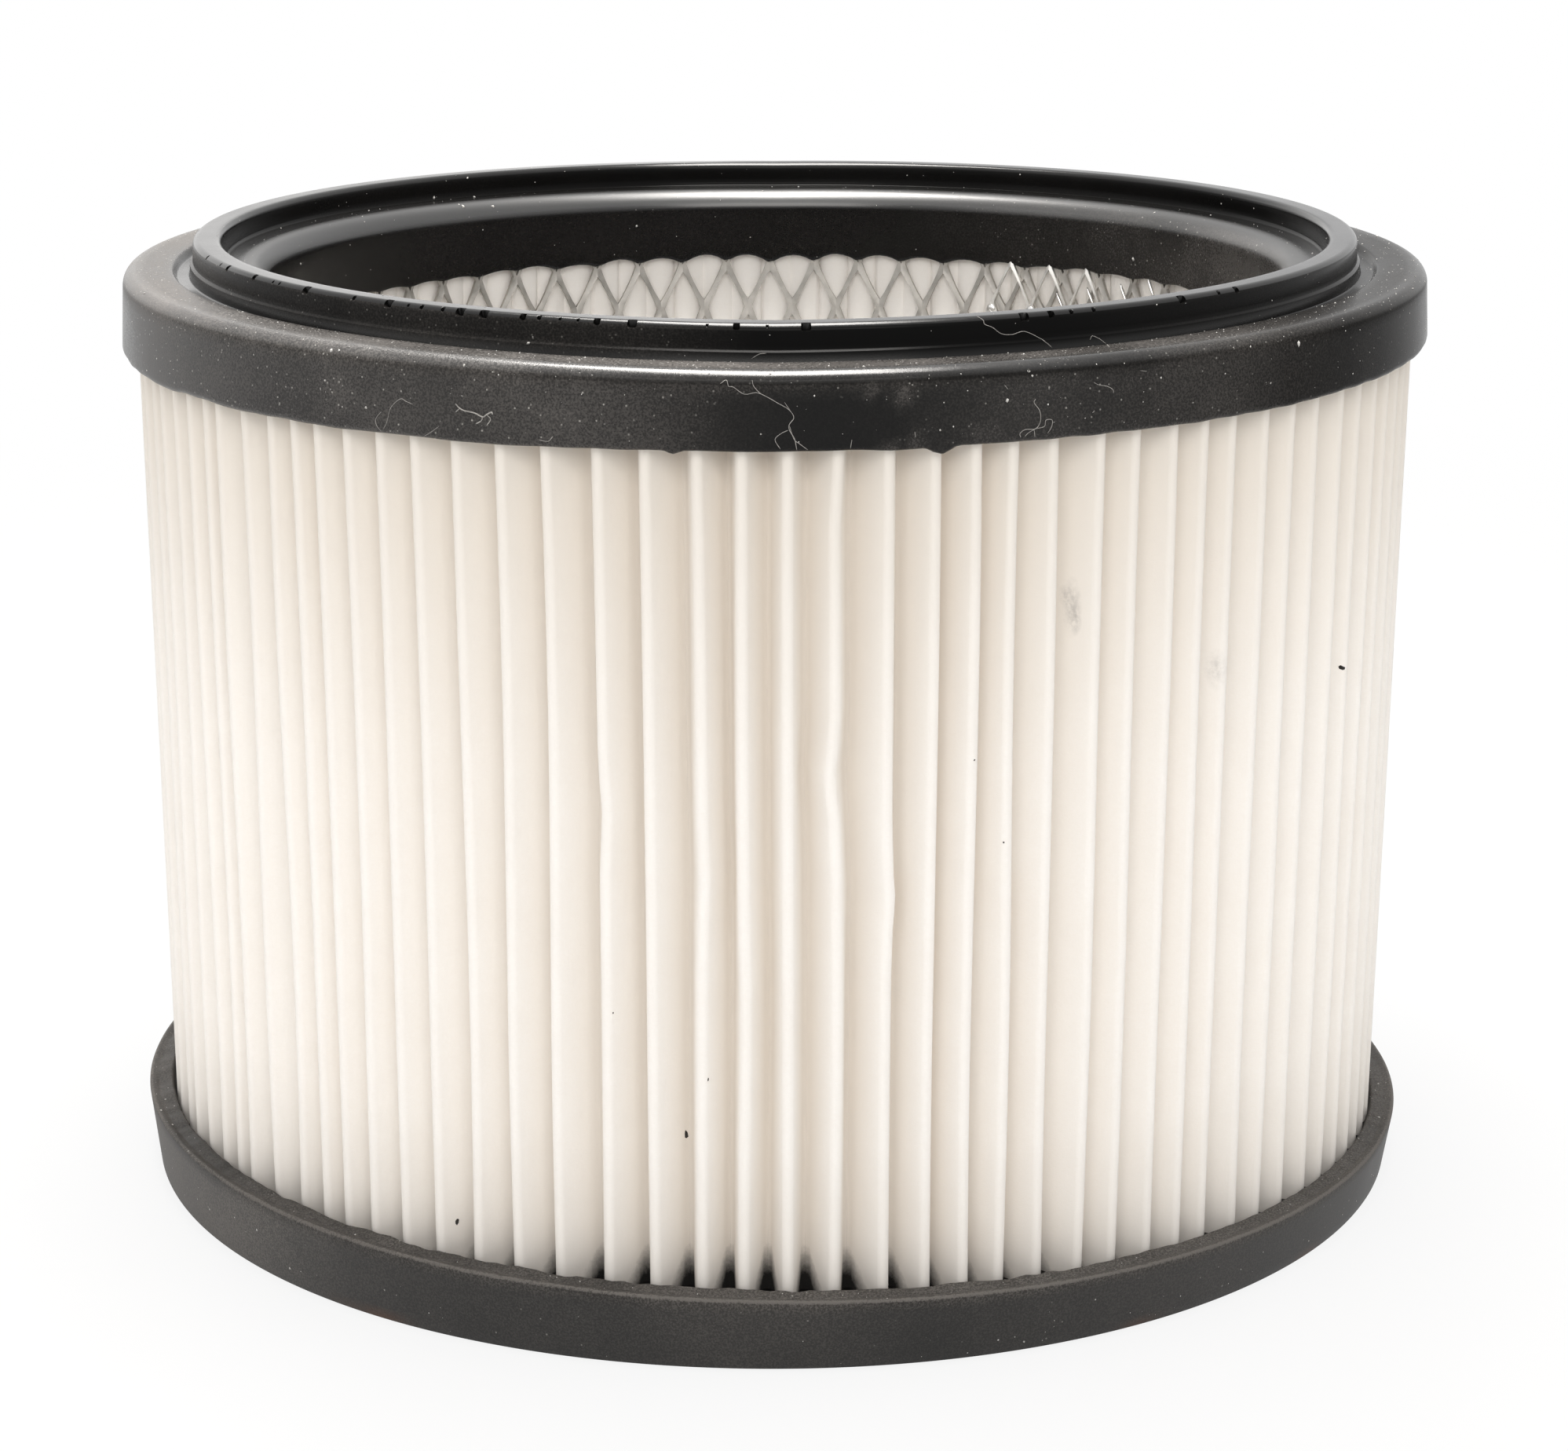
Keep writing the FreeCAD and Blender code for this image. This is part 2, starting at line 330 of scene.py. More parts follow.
# Studio, in metres and watts: lamps with their place, size and power
FLOOR_REACH = 6.0
FLOOR_DROP = 0.0003
FLOOR_WHITE = 0.88
AMBIENT = 0.42
WHITE = (1, 1, 1, 1)
LAMP_TINT = (1.0, 0.97, 0.93)
LAMP_AIM = (0, 0, 0.07)
LAMPS = (
    ("overhead_softbox", (-0.03, 0.12, 1.1), (0.4, 0.75), 24.0),
    ("left_softbox", (-1.15, -0.45, 0.5), (0.9, 0.9), 1.3),
    ("front_softbox", (0.0, -1.3, 0.75), (1.2, 0.6), 7.5),
    ("right_softbox", (1.15, -0.35, 0.5), (0.9, 0.9), 0.4),
    ("back_softbox", (-0.5, 1.0, 0.36), (1.1, 0.5), 0.75),
)

scene = bpy.context.scene
rng = np.random.default_rng(20)


def fade(values, start, end):
    """Rises evenly from 0 at start to 1 at end, where end may be the smaller one."""
    return np.clip((values - start) / (end - start), 0, 1)


def hump(values, middle, reach, power=2):
    """Bell curve: 1 at the middle, 1/e at the reach to either side."""
    return np.exp(-np.abs((values - middle) / reach) ** power)


def half_turn(angle):
    """The same angle, between minus and plus half a turn."""
    return (angle + math.pi) % TURN - math.pi


def place(bearing, radius, height):
    """Points at bearings, radii and heights, which broadcast together."""
    bearing, radius, height = np.broadcast_arrays(bearing, radius, height)
    return np.stack([radius * np.sin(bearing), -radius * np.cos(bearing), height], axis=-1)


def settle(points):
    """Moves points from the true cylinder to the leaning body of the pictured filter."""
    points = np.array(points, float)
    rise = points[..., 2] / MEDIA_TOP
    upper = fade(points[..., 2], MEDIA_TOP, FLANGE_TOP)
    points[..., 2] -= LEAN_DROP * rise * (0.5 - points[..., 0] / (2 * WALL_RADIUS))
    points[..., 2] += CAP_SWELL * upper * fade(points[..., 0], 0, -WALL_RADIUS)
    points[..., 0] += LEAN_SHIFT * rise
    return points


def lip_rise(across):
    """Rise of the bottom cap's upper edge at a distance right of the axis."""
    return across * np.where(across < 0, *LIP_SLOPES)


def ripple(bearing, low, high, seed):
    """Seamless waviness round the ring, about -1 to 1, with whole waves from low to high per turn."""
    draw = np.random.default_rng(seed)
    waves = np.arange(low, high + 1)
    phases = draw.uniform(0, TURN, len(waves))
    sizes = draw.uniform(0.3, 1.0, len(waves))
    total = sum(size * np.cos(wave * bearing + phase) for wave, phase, size in zip(waves, phases, sizes))
    return total / math.sqrt(np.sum(sizes**2)) / 1.6


def pixel_patch(bearings, height, radius, column, row, half_width, half_height):
    """Soft patch of 0 to 1 on a cap's wall, round the point that a pixel shows."""
    where, middle = pixel_on_cylinder(column, row, radius)
    across = (half_turn(bearings) - where) * radius / half_width
    return np.exp(-across**2 - ((height - middle) / half_height) ** 2)


# Photo pixels and the points they show

CAMERA_FORWARD = np.array([0, math.cos(CAMERA_PITCH), -math.sin(CAMERA_PITCH)])
CAMERA_UP = np.array([0, math.sin(CAMERA_PITCH), math.cos(CAMERA_PITCH)])
CAMERA_PLACE = np.array([0, 0, AIM_HEIGHT]) - CAMERA_DISTANCE * CAMERA_FORWARD


def pixel_ray(column, row):
    """Direction from the camera through a pixel of the photo."""
    across = (column - AXIS_COLUMN) / FOCAL_PIXELS
    up = (PHOTO_HEIGHT / 2 - row) / FOCAL_PIXELS
    direction = CAMERA_FORWARD + np.array([across, 0, 0]) + up * CAMERA_UP
    return direction / norm(direction)


def pixel_on_cylinder(column, row, radius, far=False):
    """Bearing and height where a pixel's ray meets an upright cylinder, on its near or far wall."""
    ray = pixel_ray(column, row)
    a = ray[0] ** 2 + ray[1] ** 2
    b = CAMERA_PLACE[0] * ray[0] + CAMERA_PLACE[1] * ray[1]
    c = CAMERA_PLACE[0] ** 2 + CAMERA_PLACE[1] ** 2 - radius**2
    root = math.sqrt(max(b * b - a * c, 0))
    point = CAMERA_PLACE + ray * ((-b + root) / a if far else (-b - root) / a)
    return math.atan2(point[0], -point[1]), point[2]


def column_on_ring(column, radius, height):
    """Bearing of the near point of a level ring that the photo shows in a column."""
    bearings = np.linspace(-1.5, 1.5, 3001)
    offset = settle(place(bearings, radius, height)) - CAMERA_PLACE
    columns = AXIS_COLUMN + FOCAL_PIXELS * offset[:, 0] / (offset @ CAMERA_FORWARD)
    return bearings[np.argmin(np.abs(columns - column))]


# Mesh building

def lattice_faces(rows, columns, wrap_rows=False, wrap_columns=True, first=0):
    """Quads of a grid of points, as lists of indices that start at first."""
    row = np.arange(rows if wrap_rows else rows - 1)[:, None]
    column = np.arange(columns if wrap_columns else columns - 1)[None, :]
    next_row = (row + 1) % rows
    next_column = (column + 1) % columns
    corners = (
        row * columns + column,
        row * columns + next_column,
        next_row * columns + next_column,
        next_row * columns + column,
    )
    return (np.stack(corners, axis=-1).reshape(-1, 4) + first).tolist()


def tube_faces(rings, sides, first=0):
    """Faces of a tube of rings of points, with both ends closed."""
    last = first + (rings - 1) * sides
    ends = [list(range(first, first + sides))[::-1], list(range(last, last + sides))]
    return lattice_faces(rings, sides, first=first) + ends


def make_piece(name, points, faces, material, nodes=(), sharp=None, settled=False):
    """A mesh piece that rides on the part; its points are settled here unless they are already."""
    points = np.reshape(points, (-1, 3))
    mesh = bpy.data.meshes.new(name)
    mesh.from_pydata(((points if settled else settle(points)) * MM).tolist(), [], faces)
    mesh.shade_smooth()
    if sharp:
        mesh.set_sharp_from_angle(angle=math.radians(sharp))
    mesh.materials.append(material)
    piece = bpy.data.objects.new(name, mesh)
    scene.collection.objects.link(piece)
    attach(piece, "root")
    if nodes:
        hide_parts(*nodes)
    return piece


def paint(piece, attribute, values):
    """Stores one number per vertex for the piece's material."""
    layer = piece.data.attributes.new(attribute, "FLOAT", "POINT")
    layer.data.foreach_set("value", np.ravel(values).astype(np.float32))


def rounded_section(corners):
    """Closed outline of radius and height with rounded corners, and the middle index of each corner."""
    bare = np.array([corner[:2] for corner in corners])
    arcs = []
    for index, (_, _, round_radius, steps, _) in enumerate(corners):
        here = bare[index]
        back = bare[index - 1] - here
        ahead = bare[(index + 1) % len(bare)] - here
        back /= norm(back)
        ahead /= norm(ahead)
        half = math.acos(np.clip(back @ ahead, -1, 1)) / 2
        if steps == 0:
            arcs.append(here[None, :])
            continue
        middle = back + ahead
        centre = here + middle / norm(middle) * round_radius / math.sin(half)
        start = here + back * round_radius / math.tan(half) - centre
        end = here + ahead * round_radius / math.tan(half) - centre
        first = math.atan2(start[1], start[0])
        sweep = half_turn(math.atan2(end[1], end[0]) - first)
        angles = first + sweep * np.linspace(0, 1, steps + 1)
        arcs.append(centre + round_radius * np.stack([np.cos(angles), np.sin(angles)], axis=-1))
    outline, middles = [], []
    for index, arc in enumerate(arcs):
        middles.append(len(outline) + len(arc) // 2)
        outline.extend(arc)
        runs = corners[index][4]
        target = arcs[(index + 1) % len(arcs)][0]
        for step in range(1, runs):
            outline.append(arc[-1] + (target - arc[-1]) * step / runs)
    return np.array(outline), middles


# Materials

class Nodes:
    """Short ways to add nodes to a node tree."""

    def __init__(self, tree):
        self.tree = tree

    def add(self, kind, inputs=None, **settings):
        node = self.tree.nodes.new(kind)
        for setting, value in settings.items():
            setattr(node, setting, value)
        for socket, value in (inputs or {}).items():
            self.feed(node.inputs[socket], value)
        return node

    def feed(self, socket, value):
        if isinstance(value, bpy.types.NodeSocket):
            self.tree.links.new(value, socket)
        else:
            socket.default_value = value

    def ramp(self, value, low, high, to_low=0.0, to_high=1.0):
        inputs = {"Value": value, "From Min": low, "From Max": high, "To Min": to_low, "To Max": to_high}
        return self.add("ShaderNodeMapRange", inputs).outputs[0]

    def math(self, operation, first, second):
        return self.add("ShaderNodeMath", {0: first, 1: second}, operation=operation).outputs[0]

    def length(self, vector):
        return self.add("ShaderNodeVectorMath", {0: vector}, operation="LENGTH").outputs["Value"]

    def seen(self):
        """1 on rays from the camera, off glossy surfaces or through clear ones, else 0."""
        path = self.add("ShaderNodeLightPath").outputs
        either = self.math("MAXIMUM", path["Is Camera Ray"], path["Is Glossy Ray"])
        return self.math("MAXIMUM", either, path["Is Transmission Ray"])


class Surface(Nodes):
    """A material, its shader and short ways to add textures."""

    def __init__(self, name):
        self.material = bpy.data.materials.new(name)
        self.material.use_nodes = True
        super().__init__(self.material.node_tree)
        self.shader = self.tree.nodes["Principled BSDF"]
        self.place = self.add("ShaderNodeTexCoord").outputs["Object"]

    def finish(self, **values):
        for socket, value in values.items():
            self.feed(self.shader.inputs[socket.replace("_", " ")], value)
        return self.material

    def attribute(self, name):
        return self.add("ShaderNodeAttribute", attribute_name=name).outputs["Fac"]

    def stretched(self, scale):
        mapping = self.add("ShaderNodeMapping", {"Vector": self.place, "Scale": scale})
        return mapping.outputs["Vector"]

    def noise(self, scale, detail=2.0, roughness=0.5, place=None):
        inputs = {"Vector": place or self.place, "Scale": scale, "Detail": detail, "Roughness": roughness}
        return self.add("ShaderNodeTexNoise", inputs).outputs[0]

    def cells(self, scale, output="Distance"):
        return self.add("ShaderNodeTexVoronoi", {"Vector": self.place, "Scale": scale}).outputs[output]

    def mix(self, factor, first, second):
        return self.add("ShaderNodeMix", {0: factor, 6: first, 7: second}, data_type="RGBA").outputs[2]

    def bump(self, height, strength, distance, below=None):
        inputs = {"Height": height, "Strength": strength, "Distance": distance}
        if below:
            inputs["Normal"] = below
        return self.add("ShaderNodeBump", inputs).outputs["Normal"]


def polyurethane(name, black, dust_and_shade, smooth, rough, bare):
    """Moulded black polyurethane foam skin with a coat of pale dust and single dust grains; on the bottom cap
    the dust also carries painted light.
    """
    look = Surface(name)
    dust = look.attribute("dust")
    cloud = look.ramp(look.noise(34, 4, 0.6), 0.3, 0.72)
    grain = look.ramp(look.noise(3600, 2, 0.7), 0.42, 0.64)
    # Dust coat; on the bottom cap it also carries a painted highlight along the rim and a painted lighter
    # patch on the left wall
    dust_film_and_light = look.math("MULTIPLY", dust, look.ramp(cloud, 0, 1, 0.3, 1))
    dust_film_and_light = look.math("MULTIPLY", dust_film_and_light, look.ramp(grain, 0, 1, 0.5, 1.5))
    # This colour is that of the dust coat, which on the bottom cap also carries painted light
    colour = look.mix(dust_film_and_light, black, dust_and_shade)
    near = look.ramp(look.cells(1500), 0.12, 0.24, 1, 0)
    chosen = look.ramp(look.cells(1500, "Color"), bare, bare + 0.06)
    grains = look.math("MULTIPLY", near, chosen)
    grains = look.math("MULTIPLY", grains, look.ramp(dust, 0.05, 0.5))
    colour = look.mix(grains, colour, PALE_GRAIN)
    colour = look.mix(look.attribute("stain"), colour, RUST)
    gloss = look.math("ADD", dust_film_and_light, look.math("MULTIPLY", cloud, 0.25))
    gloss = look.ramp(gloss, 0, 1, smooth, rough)
    gloss = look.math("MAXIMUM", gloss, look.attribute("pit"))
    skin = look.bump(look.noise(420, 3, 0.6), 0.05, 0.00012)
    skin = look.bump(grain, look.ramp(dust, 0, 1, 0.05, 0.3), 0.00003, skin)
    sheen = look.math("MULTIPLY", look.attribute("sheen"), 0.38)
    return look.finish(Base_Color=colour, Roughness=gloss, Normal=skin, Specular_IOR_Level=sheen)


def nonwoven():
    """Cream spun-bonded polyester: fine felted fibres, faint clouding, grey smudges where it was handled, and
    painted shade and shadow.
    """
    look = Surface("nonwoven_media")
    fibre = look.noise(1.0, 3, 0.65, look.stretched((5200, 5200, 1500)))
    cross = look.noise(1.0, 3, 0.6, look.stretched((1700, 1700, 5600)))
    felt = look.math("MULTIPLY", look.math("ADD", fibre, cross), 0.5)
    cloud = look.ramp(look.noise(130, 3, 0.6), 0.3, 0.7)
    colour = look.mix(cloud, CREAM, PALE_CREAM)
    colour = look.mix(look.ramp(felt, 0.38, 0.64, 0.10, 0), colour, FELT_SHADE)
    # Painted shade near the caps, in the valleys and at the foot
    for attribute, shade in (("cap_shade", CAP_SHADE_COLOUR), ("deep", VALLEY_SHADE), ("foot_shade", FOOT_SHADE)):
        colour = look.mix(look.attribute(attribute), colour, shade)
    patchy = look.ramp(look.noise(800, 3, 0.7), 0.36, 0.62, 0.15, 1)
    for column, row, half_width, half_height, strength in SMUDGES:
        bearing, height = pixel_on_cylinder(column, row, SMUDGE_RADIUS)
        shrink = 1 / (np.array([half_width, SMUDGE_REACH, half_height]) * MM)
        middle = place(bearing, SMUDGE_RADIUS, height) * MM
        inputs = {"Vector": look.place, "Location": tuple(-middle * shrink), "Scale": tuple(shrink)}
        spot = look.add("ShaderNodeMapping", inputs).outputs["Vector"]
        smudge = look.ramp(look.length(spot), 0.2, 1.6, strength, 0)
        colour = look.mix(look.math("MULTIPLY", smudge, patchy), colour, SMUDGE)
    ragged = look.ramp(look.noise(1500, 3, 0.7), 0, 1, -0.14, 0.14)
    # The soaked foot and the painted shadow in the valleys above it
    soak_and_shadow = look.math("ADD", look.attribute("soak_and_shadow"), ragged)
    colour = look.mix(look.ramp(soak_and_shadow, 0.2, 0.8), colour, SOAKED_AND_SHADOW)
    rough = look.ramp(felt, 0.3, 0.7, 0.85, 0.98)
    skin = look.bump(look.noise(700, 3, 0.6), 0.25, 0.00015)
    skin = look.bump(felt, 0.5, 0.00006, skin)
    return look.finish(Base_Color=colour, Roughness=rough, Normal=skin, Specular_IOR_Level=0.2)


def galvanised(name, pale, dull, smooth, rough):
    """Zinc-coated steel: cloudy grey with slit marks along the strands."""
    look = Surface(name)
    cloud = look.noise(420, 3, 0.6)
    colour = look.mix(look.ramp(cloud, 0.3, 0.7), dull, pale)
    slits = look.noise(1.0, 2, 0.6, look.stretched((900, 900, 3200)))
    skin = look.bump(slits, 0.25, 0.00005)
    roughness = look.ramp(cloud, 0.3, 0.7, smooth, rough)
    return look.finish(Base_Color=colour, Roughness=roughness, Normal=skin, Metallic=1.0)


def hot_melt():
    """Ivory hot-melt glue with a waxy skin."""
    look = Surface("hot_melt_glue")
    cloud = look.noise(260, 3, 0.6)
    colour = look.mix(look.ramp(cloud, 0.3, 0.7), (0.62, 0.52, 0.34, 1), (0.74, 0.66, 0.48, 1))
    skin = look.bump(look.noise(500, 2), 0.3, 0.0001)
    return look.finish(Base_Color=colour, Roughness=look.ramp(cloud, 0.3, 0.7, 0.3, 0.45), Normal=skin)


def fluff(name, pale, dull):
    """Lint and dust."""
    look = Surface(name)
    colour = look.mix(look.ramp(look.noise(900, 2), 0.3, 0.7), dull, pale)
    rough = look.ramp(look.noise(1500), 0.3, 0.7, 0.8, 0.95)
    return look.finish(Base_Color=colour, Roughness=rough)


TOP_RUBBER = polyurethane(
    "top_cap_polyurethane", (0.0034, 0.0033, 0.0032, 1), (0.14, 0.13, 0.122, 1), 0.17, 0.5, 0.7
)
BOTTOM_RUBBER = polyurethane(
    "bottom_cap_polyurethane", (0.005, 0.0048, 0.0046, 1), (0.125, 0.116, 0.108, 1), 0.42, 0.68, 0.88
)
MEDIA = nonwoven()
ZINC = galvanised("galvanised_strands", (0.54, 0.52, 0.49, 1), (0.36, 0.345, 0.32, 1), 0.45, 0.65)
# Paler copy of the galvanised steel for the lap: a painted highlight on its doubled strands
LAP_ZINC_HIGHLIGHT = galvanised("galvanised_lap_highlight", (0.88, 0.87, 0.84, 1), (0.68, 0.665, 0.64, 1), 0.4, 0.6)
# Pale metal of the weld nuggets and of the painted highlight streaks on the lap
WELD_AND_HIGHLIGHT = galvanised("weld_nuggets_and_highlights", (0.86, 0.85, 0.83, 1), (0.62, 0.61, 0.59, 1), 0.22, 0.4)
GLUE = hot_melt()
LINT = fluff("lint", (0.42, 0.405, 0.385, 1), (0.24, 0.23, 0.22, 1))
DUST = fluff("dust_grains", (0.7, 0.69, 0.67, 1), (0.4, 0.39, 0.37, 1))
SOOT = fluff("dark_specks", (0.03, 0.027, 0.024, 1), (0.012, 0.011, 0.01, 1))


# End caps

def turned_cap(name, outline, bearings, radius, height, material, node):
    """A cap whose rows follow its section and whose columns go round the axis."""
    faces = lattice_faces(len(outline), len(bearings), wrap_rows=True)
    points = place(bearings, radius, height)
    return make_piece(name, points, faces, material, [node], sharp=50)


def top_cap():
    outline, middles = rounded_section(TOP_CAP_SECTION)
    reach, level = outline.T[..., None]
    bead_radius, bead_height = outline[middles[PINHOLE_CORNER]]
    holes = [(column_on_ring(column, bead_radius, bead_height), size) for column, size in PINHOLES]
    for bearing in rng.uniform(*np.radians(HIDDEN_BEARINGS), HIDDEN_PINHOLES):
        holes.append((bearing, rng.choice(HIDDEN_SIZES)))
    steps = CAGE_COLUMNS * STEPS_PER_OPENING
    bearings = [np.arange(steps) * TURN / steps]
    bearings += [bearing + CLOSE_COLUMNS * size / bead_radius for bearing, size in holes]
    bearings += [math.radians(bearing) + CLOSE_COLUMNS * width / WALL_RADIUS for bearing, width, _ in DRIPS]
    bearings = np.unique(np.round(np.concatenate(bearings) % TURN, 6))
    radius, height = (np.repeat(side, len(bearings), axis=1) for side in (reach, level))

    # Overflow along the lower edge of the wall
    edge = fade(level, MEDIA_TOP + 4, MEDIA_TOP + 0.5) * fade(reach, WALL_RADIUS - 4.2, WALL_RADIUS - 1.2)
    overflow = 0.14 * ripple(bearings, 5, 40, 3) + 0.07 * ripple(bearings, 60, 110, 4)
    for bearing, width, drop in (*DRIPS, SWELL):
        away = half_turn(bearings - math.radians(bearing)) * WALL_RADIUS
        overflow -= drop * hump(away, 0, 0.45 * width, 2.5)
    height += edge**2 * overflow

    # Polyurethane that crept down the cage, arched in each opening and most so at the far side
    creep = fade(reach, BORE_RADIUS + 2.6, BORE_RADIUS + 0.6) * fade(level, MEDIA_TOP + 3.5, MEDIA_TOP)
    arch = 1 - ARCH_MEAN - np.abs(np.sin((bearings - CAGE_TURN) * CAGE_COLUMNS / 2)) ** 0.8
    far = hump(bearings, math.pi, math.radians(26))
    arch = ARCH_DEPTH * (ARCH_MEAN + (ARCH_LEFT + (1 - ARCH_LEFT) * far) * arch)
    height -= creep * (arch + 0.25 * ripple(bearings, 3, 30, 5))

    # Pinholes
    along = np.concatenate([[0], np.cumsum(norm(np.diff(outline, axis=0), axis=1))])
    along -= along[middles[PINHOLE_CORNER]]
    tangent = np.roll(outline, -1, axis=0) - np.roll(outline, 1, axis=0)
    tangent /= norm(tangent, axis=1)[:, None]
    clean = np.ones_like(radius)
    for bearing, size in holes:
        across = half_turn(bearings - bearing) * bead_radius / (HOLE_WIDTH * size)
        up = along[:, None] / (HOLE_HEIGHT * size)
        inside = 1 - np.abs(across) ** 3 - np.abs(up) ** 3
        depth = HOLE_DEPTH * size * np.clip(3 * inside, 0, 1)
        radius -= tangent[:, 1:] * depth
        height += tangent[:, :1] * depth
        clean = np.minimum(clean, 1 - np.clip(4 * inside, 0, 1))

    piece = turned_cap("top_cap_moulding", outline, bearings, radius, height, TOP_RUBBER, "top_end_cap")
    paint_top_cap(piece, reach, level, bearings, height, clean)
    return piece


def paint_top_cap(piece, reach, level, bearings, height, clean):
    """Dust and sheen of the top cap; its pinholes stay clean and matt."""
    degrees = np.degrees(half_turn(bearings))
    outer_wall = fade(reach, 90, 92) * fade(level, FLANGE_TOP - 1, FLANGE_TOP - 3)
    flange = fade(reach, 85, 86) * (1 - outer_wall)
    shoulder = fade(reach, 90, 90.8) * fade(level, FLANGE_TOP - 2.1, FLANGE_TOP - 1.5)
    brow = fade(level, FLANGE_TOP - 1.3, FLANGE_TOP - 0.7)
    bead_wall = (level > FLANGE_TOP + 0.1) & (level < CREST - 0.5) & (reach > 77.5) & (reach < 83)
    ledge = fade(reach, 76.5, 76) * fade(level, FLANGE_TOP - 2.4, FLANGE_TOP - 1.4)
    bore = fade(reach, BORE_RADIUS + 1.5, BORE_RADIUS + 0.5)

    dust = 0.02 + flange * np.interp(degrees, *FLANGE_DUST) + outer_wall * np.interp(degrees, *WALL_DUST)
    dust += bore * (0.02 + 0.55 * hump(degrees, 110, 30))
    dust *= 1 - 0.85 * shoulder * hump(degrees, 8, 30, 4)
    for *patch, strength in SMEARS:
        dust += strength * pixel_patch(bearings, height, WALL_RADIUS, *patch) * (reach > 89)
    dust += (bead_wall & (reach > 80)) * np.interp(degrees, *BEAD_DUST)

    sheen = 1 + shoulder * (1.9 * brow - 0.7) - 0.85 * bead_wall - 0.3 * outer_wall
    sheen = sheen - 0.45 * flange * (1 - shoulder) + 1.9 * ledge - 0.5 * bore * (1 - ledge)
    glare = np.where(reach > 83, np.interp(degrees, *CAP_GLARE), 1)
    paint(piece, "sheen", sheen * clean * glare)
    paint(piece, "dust", dust * clean)
    paint(piece, "pit", np.maximum(1 - clean, 0.36 * ledge))


def bottom_cap():
    outline, _ = rounded_section(BOTTOM_CAP_SECTION)
    reach, level = outline.T[..., None]
    bearings = np.arange(BOTTOM_STEPS) * TURN / BOTTOM_STEPS
    radius, height = (np.repeat(side, len(bearings), axis=1) for side in (reach, level))

    # Uneven lip and rim, and the slope of the upper edge
    lip = fade(reach, 88.2, 89) * fade(reach, 92.3, 91.5) * (level > 8)
    height += lip * (0.16 * ripple(bearings, 9, 60, 8) + 0.10 * ripple(bearings, 80, 200, 9))
    rim = fade(reach, 92.4, 92.8) * fade(level, 8.5, 10)
    height += rim * (0.05 * ripple(bearings, 4, 40, 10) - 0.05)
    height += lip_rise(radius * np.sin(bearings)) * height / LIP_HEIGHT
    piece = turned_cap(
        "bottom_cap_moulding", outline, bearings, radius, height, BOTTOM_RUBBER, "bottom_end_cap"
    )

    # Dust lies on the lip and coats the wall, with a painted lighter patch on the left wall; a painted
    # highlight runs along the rim's edge, and the floor between the folds is matt
    lip = fade(reach, 88.6, 89.2) * fade(level, 9.2, 9.8)
    wall = fade(reach, 91, 91.5) * (1 - lip)
    # Painted highlight: a pale line along the rim's edge
    edge = fade(reach, 92.6, 92.9) * fade(level, 9.7, 10)
    floor = fade(reach, 88.9, 88.4) * fade(level, 9, 10)
    # Dust on the wall, with a painted lighter patch on its left side where light falls
    dust_film_and_light = 0.33 + 0.1 * ripple(bearings, 2, 9, 11) + 1.5 * hump(np.degrees(half_turn(bearings)), -64, 18)
    stain = np.zeros_like(radius)
    for *patch, strength in STAINS:
        stain = np.maximum(stain, strength * pixel_patch(bearings, height, STAIN_RADIUS, *patch))
    paint(piece, "sheen", np.broadcast_to(0.9 - 0.5 * lip, radius.shape))
    paint(piece, "dust", 0.85 * lip + wall * dust_film_and_light + 1.6 * edge)
    paint(piece, "stain", stain)
    paint(piece, "pit", np.broadcast_to(0.95 * floor, radius.shape))
    return piece


# Pleated media

def pixel_on_folds(column, row):
    """Bearing and height of the fold crest that a pixel shows."""
    return pixel_on_cylinder(column, row, (TIP_TOP + TIP_BOTTOM) / 2)


def crest_bearings():
    """Bearings of all fold crests, in order: read from the photo where it shows them."""
    columns = AXIS_COLUMN + CREST_SHIFT + CREST_SPREAD * (np.array(CREST_COLUMNS) - AXIS_COLUMN)
    seen = [pixel_on_folds(column, PLEAT_ROW)[0] for column in columns]
    hidden = PLEAT_COUNT - len(seen)
    gap = TURN - (seen[-1] - seen[0])
    rest = seen[-1] + gap * np.arange(1, hidden + 1) / (hidden + 1)
    rest += HIDDEN_JITTER * rng.uniform(-1, 1, hidden)
    return np.concatenate([seen, rest])


def outward(bearing):
    return np.stack([np.sin(bearing), -np.cos(bearing)], axis=-1)


def onward(bearing):
    return np.stack([np.cos(bearing), np.sin(bearing)], axis=-1)


